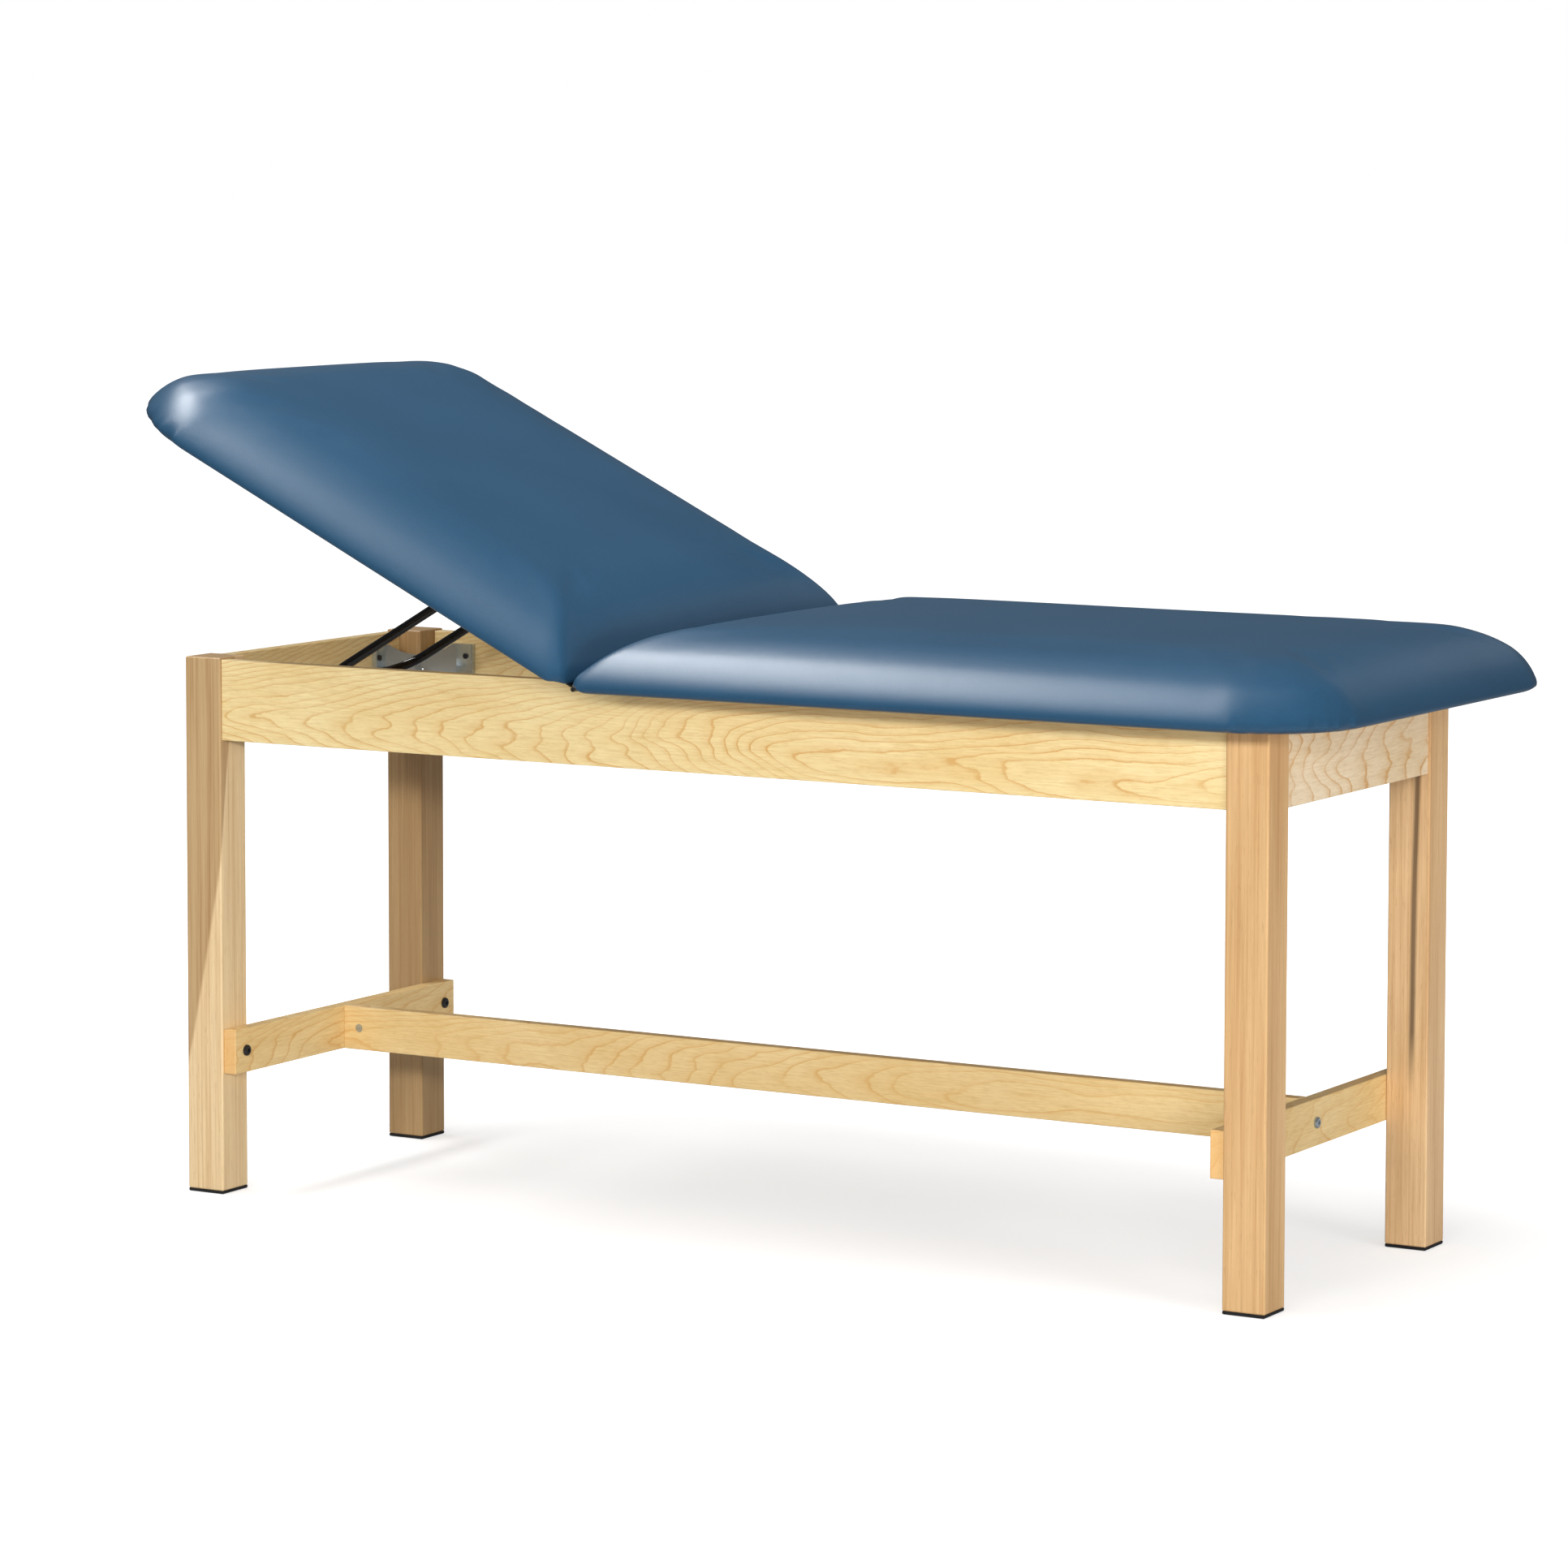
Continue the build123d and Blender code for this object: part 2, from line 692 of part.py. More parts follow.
saddle_screw_places = [
    Pos(bail_pivot_reach + way * saddle_screw_reach, y, -saddle_sheet) * FACE_DOWN
    for y in (-saddle_y, saddle_y)
    for way in (-1, 1)
]
saddle_pilots = [
    pilot(place, short_screw_radius, saddle_screw_length) for place in saddle_screw_places
]
saddle_screws = [
    pan_screw(place, short_screw_radius, saddle_screw_length, *short_screw_head)
    for place in saddle_screw_places
]
saddles = [bail_saddle(y) for y in (-saddle_y, saddle_y)]
buffers = [
    rod(Pos(buffer_reach, y, 0), buffer_radius, 0, -buffer_thickness)
    for y in buffer_ys
]
save("backrest_board", backrest_place * pad_board(backrest_length, leaf_pilots + saddle_pilots))
save("backrest_cushion", backrest_place * pad_cushion(backrest_length))
save("bail_saddles", *[backrest_place * saddle for saddle in saddles])
save("saddle_screws", *[backrest_place * screw for screw in saddle_screws])
save("closing_buffers", *[backrest_place * solid_of(pad) for pad in buffers])


# ---- support bail: one bent rod, whose ends turn in the saddles ----
pivot = (backrest_place * Pos(bail_pivot_reach, 0, -bail_pivot_drop)).position
bail_angle = asin((pivot.Z - crossbar_height) / bail_arm_length)
bail_plane = Plane(
    origin=(pivot.X, 0, pivot.Z),
    x_dir=(-cos(bail_angle), 0, -sin(bail_angle)),
    z_dir=(sin(bail_angle), 0, -cos(bail_angle)),
)
stub_end = bail_half_width + bail_stub
bail_path = FilletPolyline(
    (0, -stub_end),
    (0, -bail_half_width),
    (bail_arm_length, -bail_half_width),
    (bail_arm_length, bail_half_width),
    (0, bail_half_width),
    (0, stub_end),
    radius=[bail_stub_radius, bail_corner_radius, bail_corner_radius, bail_stub_radius],
)
bail_section = Plane(origin=(0, -stub_end, 0), z_dir=(0, 1, 0)) * Circle(rod_radius)
bail = sweep(bail_section, path=bail_path)
save("support_bail", solid_of(bail_plane * bail))

print("hinge", round(hinge_x, 3), round(hinge_z, 3))
print("bail pivot", round(pivot.X, 3), round(pivot.Z, 3), "angle", round(degrees(bail_angle), 2))
print("head face", round(head_x, 3), "leg top", round(leg_top, 3))
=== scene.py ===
import json
import math

import bmesh
import bpy
from mathutils import Matrix, Vector


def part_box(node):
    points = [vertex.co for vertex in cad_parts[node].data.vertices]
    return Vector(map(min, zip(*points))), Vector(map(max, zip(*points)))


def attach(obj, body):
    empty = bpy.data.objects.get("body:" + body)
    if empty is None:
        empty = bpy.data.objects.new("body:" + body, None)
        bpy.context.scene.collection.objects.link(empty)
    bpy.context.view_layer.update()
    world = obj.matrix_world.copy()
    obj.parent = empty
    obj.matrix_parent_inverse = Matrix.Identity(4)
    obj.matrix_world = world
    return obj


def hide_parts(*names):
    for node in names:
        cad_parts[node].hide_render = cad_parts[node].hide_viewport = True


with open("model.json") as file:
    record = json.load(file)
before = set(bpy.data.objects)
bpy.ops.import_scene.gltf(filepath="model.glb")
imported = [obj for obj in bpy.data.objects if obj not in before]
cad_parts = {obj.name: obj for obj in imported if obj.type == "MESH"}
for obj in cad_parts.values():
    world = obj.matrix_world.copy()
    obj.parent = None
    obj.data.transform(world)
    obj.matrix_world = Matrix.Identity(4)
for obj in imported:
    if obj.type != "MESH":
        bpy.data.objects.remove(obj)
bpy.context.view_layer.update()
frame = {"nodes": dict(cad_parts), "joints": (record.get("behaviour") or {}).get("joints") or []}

# Camera. It stands off the couch's near side, towards the foot end, a little below eye level,
# with a long lens and the film shifted a little downwards.
camera_place = Vector((3.6023, -6.2592, 1.4236))
camera_yaw = math.radians(30.37)
camera_pitch = math.radians(-4.48)
camera_roll = math.radians(0.083)
camera_data = bpy.data.cameras.new("camera")
camera_data.sensor_width = 36.0
camera_data.lens = 127.8
camera_data.shift_y = -0.1377
camera = bpy.data.objects.new("camera", camera_data)
bpy.context.scene.collection.objects.link(camera)
camera.matrix_world = (
    Matrix.Translation(camera_place)
    @ Matrix.Rotation(camera_yaw, 4, "Z")
    @ Matrix.Rotation(math.pi / 2 + camera_pitch, 4, "X")
    @ Matrix.Rotation(camera_roll, 4, "Z")
)
bpy.context.scene.camera = camera


# Floor. A plain matt white sweep, wide enough to fill the view from any side. It glows a little
# where the camera sees it, more so away from the couch, so that only the soft shadow isn't white.
WHITE = (1, 1, 1, 1)


def srgb(red, green, blue):
    """A colour given as screen values from 0 to 255, as the linear values a shader takes."""
    linear = [((value / 255 + 0.055) / 1.055) ** 2.4 for value in (red, green, blue)]
    return (*linear, 1.0)


def new_material(name):
    """An empty material, its node tree and its shader."""
    material = bpy.data.materials.new(name)
    material.use_nodes = True
    return material, material.node_tree, material.node_tree.nodes["Principled BSDF"]


def node(tree, kind, inputs, **settings):
    """Adds a node. An input is given a value, or the output socket that feeds it."""
    made = tree.nodes.new("ShaderNode" + kind)
    for name, value in settings.items():
        setattr(made, name, value)
    for socket, value in inputs.items():
        if isinstance(value, bpy.types.NodeSocket):
            tree.links.new(value, made.inputs[socket])
        else:
            made.inputs[socket].default_value = value
    return made


def math_node(tree, operation, first, second=0.0):
    """The result of one sum on two values or sockets."""
    return node(tree, "Math", {0: first, 1: second}, operation=operation).outputs[0]


def ramp(tree, value, stops):
    """Colours laid along a value: stops are (position, colour) in order."""
    made = node(tree, "ValToRGB", {0: value})
    elements = made.color_ramp.elements
    while len(elements) < len(stops):
        elements.new(0.5)
    for element, (position, colour) in zip(elements, stops):
        element.position = position
        element.color = colour
    return made.outputs["Color"]


def mix(tree, share, first, second, blend="MIX"):
    """Two colours mixed by a share."""
    made = node(
        tree,
        "Mix",
        {"Factor": share, 6: first, 7: second},
        data_type="RGBA",
        blend_type=blend,
    )
    return made.outputs[2]


floor_size = 120.0
floor_gap = 0.0005
glow_starts = 1.1
glow_full = 2.4
glow_near_couch = 0.56
plain_white = 0.62
bounced_white = 0.4
bpy.ops.object.select_all(action="DESELECT")
bpy.ops.mesh.primitive_plane_add(size=floor_size, location=(0, 0, -floor_gap))
floor = bpy.context.object
floor.name = "floor"
floor_material, tree, shader = new_material("floor_white")
shader.inputs["Roughness"].default_value = 0.9
shader.inputs["Specular IOR Level"].default_value = 0.1
shader.inputs["Emission Color"].default_value = WHITE
seen_directly = node(tree, "LightPath", {}).outputs["Is Camera Ray"]
floor_place = node(tree, "TexCoord", {}).outputs["Object"]
away = node(tree, "VectorMath", {0: floor_place}, operation="LENGTH").outputs["Value"]
glow = node(
    tree,
    "MapRange",
    {
        "Value": away,
        "From Min": glow_starts,
        "From Max": glow_full,
        "To Min": glow_near_couch,
        "To Max": 1.0,
    },
).outputs["Result"]
glow = math_node(tree, "MULTIPLY", seen_directly, glow)
tree.links.new(glow, shader.inputs["Emission Strength"])
floor_tone = node(
    tree, "Mix", {"Factor": seen_directly, 2: bounced_white, 3: plain_white}, data_type="FLOAT"
)
tree.links.new(floor_tone.outputs[0], shader.inputs["Base Color"])
floor.data.materials.append(floor_material)


# Legs. Square posts of straight-grained ash, planed and lacquered, with lightly eased edges.
# Heartwood fills one side of the near head leg, and runs as a thin streak down the far foot leg.
GRAIN_TURNS = {
    "X": (0, 0, 0),
    "Y": (0, 0, -math.pi / 2),
    "Z": (0, math.pi / 2, 0),
}


def grain_space(tree, grain, seed):
    """Object coordinates turned so that X runs along the grain, moved to a fresh bit of wood."""
    place = node(tree, "TexCoord", {}).outputs["Object"]
    turned = node(tree, "Mapping", {"Vector": place, "Rotation": GRAIN_TURNS[grain]})
    return turned.outputs["Vector"], (seed * 1.7, seed * 2.3, seed * 0.9)


def stretched(tree, vector, scale, offset=(0, 0, 0)):
    """The same coordinates stretched along each axis."""
    made = node(tree, "Mapping", {"Vector": vector, "Scale": scale, "Location": offset})
    return made.outputs["Vector"]


def noise(tree, vector, detail=2.0, roughness=0.5, distortion=0.0):
    """Smooth noise from 0 to 1."""
    made = node(
        tree,
        "TexNoise",
        {
            "Vector": vector,
            "Scale": 1.0,
            "Detail": detail,
            "Roughness": roughness,
            "Distortion": distortion,
        },
    )
    return made.outputs["Fac"]


def end_share(tree, grain):
    """1 on faces that cut across the grain, and 0 on the others."""
    normal = node(tree, "TexCoord", {}).outputs["Normal"]
    part = node(tree, "SeparateXYZ", {"Vector": normal}).outputs[grain]
    return math_node(tree, "GREATER_THAN", math_node(tree, "ABSOLUTE", part), 0.8)


def lacquer(tree, shader, colour, height, bump):
    """A thin satin lacquer over wood of that colour, with its grain just felt."""
    tree.links.new(colour, shader.inputs["Base Color"])
    shader.inputs["Roughness"].default_value = 0.42
    shader.inputs["Coat Weight"].default_value = 0.15
    shader.inputs["Coat Roughness"].default_value = 0.25
    made = node(tree, "Bump", {"Height": height, "Strength": 0.25, "Distance": bump})
    tree.links.new(made.outputs["Normal"], shader.inputs["Normal"])


def heart_share(tree, wander, plane, place, half_width, lowest, highest):
    """1 within a band about a slanted plane through a post, between two heights, and 0 outside."""
    where = node(tree, "TexCoord", {}).outputs["Object"]
    height = node(tree, "SeparateXYZ", {"Vector": where}).outputs["Z"]
    beside = node(tree, "VectorMath", {0: where, 1: plane}, operation="DOT_PRODUCT")
    wave = math_node(tree, "MULTIPLY", math_node(tree, "SUBTRACT", wander, 0.5), heart_wave)
    waved = math_node(tree, "ADD", beside.outputs["Value"], wave)
    off = math_node(tree, "ABSOLUTE", math_node(tree, "SUBTRACT", waved, place))
    inner = half_width - heart_soft_edge
    inside = node(
        tree, "MapRange", {"Value": off, "From Min": half_width, "From Max": inner}
    ).outputs["Result"]
    above = node(
        tree, "MapRange", {"Value": height, "From Min": lowest, "From Max": lowest + heart_fade}
    ).outputs["Result"]
    below = node(
        tree, "MapRange", {"Value": height, "From Min": highest, "From Max": highest - heart_fade}
    ).outputs["Result"]
    return math_node(tree, "MULTIPLY", inside, math_node(tree, "MULTIPLY", above, below))


def straight_wood(name, grain, seed, pale, dark, heart=None):
    """Ash with fine straight streaks and pores. heart is (plane, place, half width, lowest,
    highest, colour) of a band of heartwood, if there is one."""
    material, tree, shader = new_material(name)
    space, offset = grain_space(tree, grain, seed)
    wander = noise(tree, stretched(tree, space, (1.6, 9, 9), offset), 2.0)
    fibre = noise(tree, stretched(tree, space, (9, 620, 620), offset), 3.0, 0.6)
    streak = noise(tree, stretched(tree, space, (1.8, 190, 190), offset), 3.0, 0.65)
    patch = noise(tree, stretched(tree, space, (2.2, 30, 30), offset), 2.0)
    pore = noise(tree, stretched(tree, space, (45, 1300, 1300), offset), 1.0)
    tone = ramp(tree, patch, [(0.3, pale), (0.72, dark)])
    streak_tone = ramp(
        tree, streak, [(0.36, srgb(222, 202, 178)), (0.52, srgb(250, 246, 240)), (0.7, WHITE)]
    )
    fibre_tone = ramp(tree, fibre, [(0.25, srgb(226, 216, 204)), (0.7, WHITE)])
    colour = mix(tree, 0.5, tone, streak_tone, "MULTIPLY")
    colour = mix(tree, 0.7, colour, fibre_tone, "MULTIPLY")
    share = math_node(tree, "MULTIPLY", math_node(tree, "GREATER_THAN", pore, 0.68), 0.3)
    colour = mix(tree, share, colour, pore_brown)
    if heart:
        *band, heart_colour = heart
        share = heart_share(tree, wander, *band)
        heart_tone = mix(tree, 0.9, heart_colour, streak_tone, "MULTIPLY")
        heart_tone = mix(tree, 0.8, heart_tone, fibre_tone, "MULTIPLY")
        colour = mix(tree, math_node(tree, "MULTIPLY", share, 0.85), colour, heart_tone)
    cut = math_node(tree, "MULTIPLY", end_share(tree, grain), 0.5)
    colour = mix(tree, cut, colour, ash_end_grain)
    lacquer(tree, shader, colour, fibre, ash_relief)
    return material


def finish_node(name, material):
    """Gives a CAD node its finish."""
    target = frame["nodes"][name]
    target.data.materials.clear()
    target.data.materials.append(material)


pore_brown = srgb(150, 106, 66)
ash_end_grain = srgb(206, 172, 122)
ash_relief = 0.0003
heart_wave = 0.03
heart_soft_edge = 0.004
heart_fade = 0.08
half_heart = ((1, 1.5, -0.193), -2.267, 1.0, -1.0, 1.0, srgb(196, 164, 120))
thin_heart = ((1, -0.25, -0.015), 0.683, 0.006, 0.2, 0.68, srgb(112, 88, 62))
for place, seed, pale, dark, heart in (
    ("head_near", 1, srgb(250, 226, 182), srgb(240, 212, 166), half_heart),
    # Painted shade: the far head leg's pale and dark tones are set well below the other legs' to
    # stand in for the shade of the pads and aprons over it.
    ("head_far", 2, srgb(196, 164, 118), srgb(172, 140, 98), None),
    ("foot_near", 3, srgb(232, 194, 142), srgb(214, 172, 120), None),
    ("foot_far", 4, srgb(248, 212, 164), srgb(230, 190, 140), thin_heart),
):
    ash = straight_wood("ash_" + place, "Z", seed, pale, dark, heart)
    finish_node("leg_" + place, ash)


# Foot pads. Thin black moulded plates tacked under the legs, dull and slightly pebbled.
def pebbled(name, colour, roughness, size, depth):
    """A moulded surface with a fine pebble."""
    material, tree, shader = new_material(name)
    place = node(tree, "TexCoord", {}).outputs["Object"]
    grains = noise(tree, stretched(tree, place, (size, size, size)), 3.0)
    tone = ramp(tree, grains, [(0.3, colour), (0.8, tuple(1.6 * c for c in colour[:3]) + (1,))])
    tree.links.new(tone, shader.inputs["Base Color"])
    shader.inputs["Roughness"].default_value = roughness
    made = node(tree, "Bump", {"Height": grains, "Strength": 0.4, "Distance": depth})
    tree.links.new(made.outputs["Normal"], shader.inputs["Normal"])
    return material


foot_plastic = pebbled("foot_plastic_black", (0.012, 0.012, 0.013, 1), 0.6, 900, 0.0004)
for end in ("head", "foot"):
    for side in ("near", "far"):
        finish_node(f"foot_pad_{end}_{side}", foot_plastic)


# Aprons. Birch-faced boards under clear lacquer, their faces peeled from the log, so that the
# growth lines run in nested arches and islands. Their cut ends are warmer.
def arched_wood(name, seed, pale, line_colour, across, rate, arch, islands, flows_to):
    """Flat-sawn or peeled wood. Growth lines lie where a field passes whole numbers: it climbs
    along the grain at rate lines a metre, bows into arches across it, and further along gives
    way to long islands. across names the axis of the face that the arches bow over."""
    material, tree, shader = new_material(name)
    grain = board_grain[name]
    space, offset = grain_space(tree, grain, seed)
    parts = node(tree, "SeparateXYZ", {"Vector": space})
    along, height = parts.outputs["X"], parts.outputs[across]
    low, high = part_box(name)
    middle = {"Z": (low.z + high.z) / 2 - arch_drop, "Y": 0.0}[across]
    wander = noise(tree, stretched(tree, space, (3.4, 13, 13), offset), 2.0, 0.5, 0.25)
    slow = noise(tree, stretched(tree, space, (1.3, 7, 7), offset), 1.0)
    ragged = noise(tree, stretched(tree, space, (55, 120, 120), offset), 3.0, 0.6)
    away = math_node(tree, "SUBTRACT", height, middle)
    bow = math_node(tree, "MULTIPLY", math_node(tree, "MULTIPLY", away, away), arch)
    arches = math_node(tree, "SUBTRACT", math_node(tree, "MULTIPLY", along, rate), bow)
    arches = math_node(tree, "ADD", arches, math_node(tree, "MULTIPLY", wander, 6.5))
    long_lines = math_node(tree, "ADD", math_node(tree, "MULTIPLY", slow, 11.0), arches)
    long_lines = math_node(
        tree, "SUBTRACT", long_lines, math_node(tree, "MULTIPLY", along, 0.75 * rate)
    )
    long_lines = math_node(tree, "ADD", long_lines, math_node(tree, "MULTIPLY", away, 30.0))
    start, end = flows_to
    given_way = node(
        tree, "MapRange", {"Value": along, "From Min": start, "From Max": end, "To Max": islands}
    ).outputs["Result"]
    field = node(
        tree, "Mix", {"Factor": given_way, 2: arches, 3: long_lines}, data_type="FLOAT"
    ).outputs[0]
    field = math_node(tree, "ADD", field, math_node(tree, "MULTIPLY", ragged, 0.3))
    line = math_node(tree, "FRACT", field)
    strength = noise(tree, stretched(tree, space, (6, 26, 26), offset), 2.0)
    black = (0, 0, 0, 1)
    half_tone = (0.5, 0.5, 0.5, 1)
    faint = (0.28, 0.28, 0.28, 1)
    lines = ramp(
        tree,
        line,
        [(0.0, half_tone), (0.05, black), (0.5, black), (0.86, faint), (0.965, WHITE)],
    )
    seen = node(
        tree,
        "MapRange",
        {"Value": strength, "From Min": 0.3, "From Max": 0.65, "To Min": 0.3, "To Max": 0.85},
    ).outputs["Result"]
    share = math_node(tree, "MULTIPLY", lines, seen)
    blotch = noise(tree, stretched(tree, space, (7, 18, 18), offset), 4.0, 0.6)
    warm = tuple(part * keep for part, keep in zip(pale[:3], (0.93, 0.87, 0.76))) + (1,)
    base = ramp(tree, blotch, [(0.32, pale), (0.72, warm)])
    fleck = noise(tree, stretched(tree, space, (60, 420, 420), offset), 2.0, 0.6)
    fleck_tone = ramp(tree, fleck, [(0.3, srgb(236, 226, 210)), (0.55, WHITE)])
    fibre = noise(tree, stretched(tree, space, (16, 520, 520), offset), 3.0, 0.6)
    fibre_tone = ramp(tree, fibre, [(0.25, srgb(238, 232, 222)), (0.7, WHITE)])
    colour = mix(tree, 0.8, base, fibre_tone, "MULTIPLY")
    colour = mix(tree, 0.5, colour, fleck_tone, "MULTIPLY")
    colour = mix(tree, share, colour, line_colour)
    cut = math_node(tree, "MULTIPLY", end_share(tree, grain), 0.55)
    colour = mix(tree, cut, colour, board_end_grain)
    lacquer(tree, shader, colour, fibre, board_relief)
    return material


birch = srgb(250, 230, 176)
pale_birch = srgb(252, 234, 204)
birch_line = srgb(212, 156, 80)
board_end_grain = srgb(232, 172, 102)
board_relief = 0.0002
arch_drop = 0.02
board_grain = {
    "apron_near": "X",
    "apron_far": "X",
    "apron_head": "Y",
    "apron_foot": "Y",
    "cross_rail_head": "Y",
    "cross_rail_foot": "Y",
    "stretcher": "X",
    "mid_cross_rail": "Y",
    "rack_rail": "X",
    "seat_board": "X",
    "backrest_board": "X",
}
aprons = {
    "apron_near": (1, birch, 22.0, 1300, 1.0, (-0.15, 0.25)),
    "apron_far": (2, birch, 22.0, 1500, 1.0, (-0.6, 0.1)),
    "apron_head": (3, birch, 22.0, 1200, 0.5, (-0.3, 0.2)),
    "apron_foot": (4, pale_birch, 22.0, 260, 0.0, (0.0, 0.1)),
}
for name, (seed, pale, rate, arch, islands, flows_to) in aprons.items():
    finish_node(
        name, arched_wood(name, seed, pale, birch_line, "Z", rate, arch, islands, flows_to)
    )


# H-brace, mid rail and rack rail. Sawn maple boards under the same lacquer, with faint broken
# figure and warmer end grain. The two cross rails hold the legs; the stretcher ties them.
maple = srgb(248, 220, 162)
maple_line = srgb(222, 170, 98)
long_figure = (-0.4, 0.3)
for name, seed, rate, arch in (
    ("cross_rail_head", 5, 9.0, 900),
    ("cross_rail_foot", 6, 9.0, 900),
    ("stretcher", 7, 11.0, 1400),
    ("mid_cross_rail", 8, 9.0, 900),
    ("rack_rail", 9, 9.0, 900),
):
    finish_node(
        name, arched_wood(name, seed, maple, maple_line, "Z", rate, arch, 1.0, long_figure)
    )
finish_node("rail_dowels", frame["nodes"]["rack_rail"].data.materials[0])


# Bright fittings. Pressed steel and cold-headed fasteners, plated with zinc: a cool bright
# metal with a faint cloudy spangle.
def plated(name, colour, roughness, cloud):
    """Plated metal whose polish varies in soft clouds."""
    material, tree, shader = new_material(name)
    place = node(tree, "TexCoord", {}).outputs["Object"]
    clouds = noise(tree, stretched(tree, place, (cloud, cloud, cloud)), 4.0, 0.6)
    tone = ramp(
        tree, clouds, [(0.3, tuple(0.9 * part for part in colour[:3]) + (1,)), (0.7, colour)]
    )
    tree.links.new(tone, shader.inputs["Base Color"])
    shader.inputs["Metallic"].default_value = 0.8
    gloss = node(
        tree,
        "MapRange",
        {"Value": clouds, "From Min": 0.3, "From Max": 0.7, "To Min": roughness * 1.25,
         "To Max": roughness * 0.85},
    ).outputs["Result"]
    tree.links.new(gloss, shader.inputs["Roughness"])
    return material


zinc = plated("zinc_plate", srgb(196, 208, 214), 0.2, 22)
for name in (
    "corner_brace_head_near",
    "corner_brace_head_far",
    "corner_brace_foot_near",
    "corner_brace_foot_far",
    "hanger_bolts",
    "hanger_nuts",
    "hanger_washers",
    "stretcher_bolts",
    "stretcher_barrel_nuts",
    "ratchet_rack",
    "rack_screws",
    "seat_brackets",
    "seat_bracket_screws",
):
    finish_node(name, zinc)


# Black fittings. Socket bolts and screws with a black oxide skin, and hinges, saddles and bail
# in baked black enamel, which is glossier on the rod.
def enamel(name, colour, roughness, coat, ripple):
    """Baked enamel with a slight orange-peel."""
    material, tree, shader = new_material(name)
    place = node(tree, "TexCoord", {}).outputs["Object"]
    peel = noise(tree, stretched(tree, place, (ripple, ripple, ripple)), 2.0)
    tone = ramp(tree, peel, [(0.3, colour), (0.8, tuple(1.5 * c for c in colour[:3]) + (1,))])
    tree.links.new(tone, shader.inputs["Base Color"])
    shader.inputs["Roughness"].default_value = roughness
    shader.inputs["Coat Weight"].default_value = coat
    shader.inputs["Coat Roughness"].default_value = 0.08
    made = node(tree, "Bump", {"Height": peel, "Strength": 0.15, "Distance": 0.0003})
    tree.links.new(made.outputs["Normal"], shader.inputs["Normal"])
    return material


black_oxide = enamel("black_oxide", (0.012, 0.012, 0.013, 1), 0.4, 0.2, 500)
black_enamel = enamel("black_enamel", (0.0012, 0.0012, 0.0014, 1), 0.16, 0.0, 160)
for name in (
    "rail_bolts",
    "brace_screws",
    "hinge_leaves_seat",
    "hinge_leaves_backrest",
    "hinge_pins",
    "hinge_screws_seat",
    "hinge_screws_backrest",
    "bail_saddles",
    "saddle_screws",
):
    finish_node(name, black_oxide)
finish_node("support_bail", black_enamel)
finish_node("closing_buffers", pebbled("buffer_rubber", (0.014, 0.014, 0.014, 1), 0.75, 600, 0.0003))


# Pad boards. Plain plywood panels, left bare below, that each pad is built on.
bare_ply = srgb(206, 170, 122)
bare_ply_line = srgb(170, 124, 78)
for name, seed in (("seat_board", 10), ("backrest_board", 11)):
    finish_node(
        name, arched_wood(name, seed, bare_ply, bare_ply_line, "Y", 14.0, 60, 1.0, long_figure)
    )


# Cushions. Foam on the boards under one stretched sheet of slate-blue coated fabric, which is
# pulled over the edges and stapled below. The foam's edges are rolled off broadly, its top is
# crowned, and the cover draws the sides in a little between the corners.
pad_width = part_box("seat_cushion")[1].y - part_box("seat_cushion")[0].y
hinge_line = Vector(frame["joints"][0]["pos_m"])
board_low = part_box("seat_board")[0].z
board_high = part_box("seat_board")[1].z - board_low
pad_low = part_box("seat_cushion")[0].z - board_low
seat_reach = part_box("seat_cushion")[1].x - hinge_line.x
board_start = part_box("seat_board")[0].x - hinge_line.x
backrest_reach = 0.7874
backrest_lift = math.radians(26.0)
pad_gap = 0.0025
pad_wall = 0.0135
hinge_rake = 0.0085
corner_round = 0.132
hinge_corner_round = 0.018
shoulder = 0.0665
crown = 0.0155
roll_radius = 0.0616
roll_end = 0.035
dome_reach = 0.105
dome_depth = 0.038
hinge_dome_depth = 0.050
wall_inset = 0.008
cover_spare = 0.003
thin_edge = 0.0012
least_pad = 0.006
side_draw = 0.007
end_bulge = 0.004
remesh_size = 0.0075
stapled_height = 0.014
swell_fade = 0.02
swell_limit = 0.004
lip_relief = 0.012
lip_clearance = 0.001
board_slack = 0.0003
board_hinge_round = 0.039


def select_where(test):
    """In edit mode, selects just the edges that pass a test."""
    mesh = bmesh.from_edit_mesh(bpy.context.object.data)
    for items in (mesh.faces, mesh.edges, mesh.verts):
        for item in items:
            item.select_set(False)
    for edge in mesh.edges:
        if test(edge):
            edge.select_set(True)
    bmesh.update_edit_mesh(bpy.context.object.data)


def edge_middle(edge):
    """The point halfway along an edge."""
    return (edge.verts[0].co + edge.verts[1].co) / 2


def apply_modifiers(piece):
    """Applies every modifier of a piece, in order."""
    bpy.ops.object.select_all(action="DESELECT")
    bpy.context.view_layer.objects.active = piece
    piece.select_set(True)
    for modifier in list(piece.modifiers):
        bpy.ops.object.modifier_apply(modifier=modifier.name)


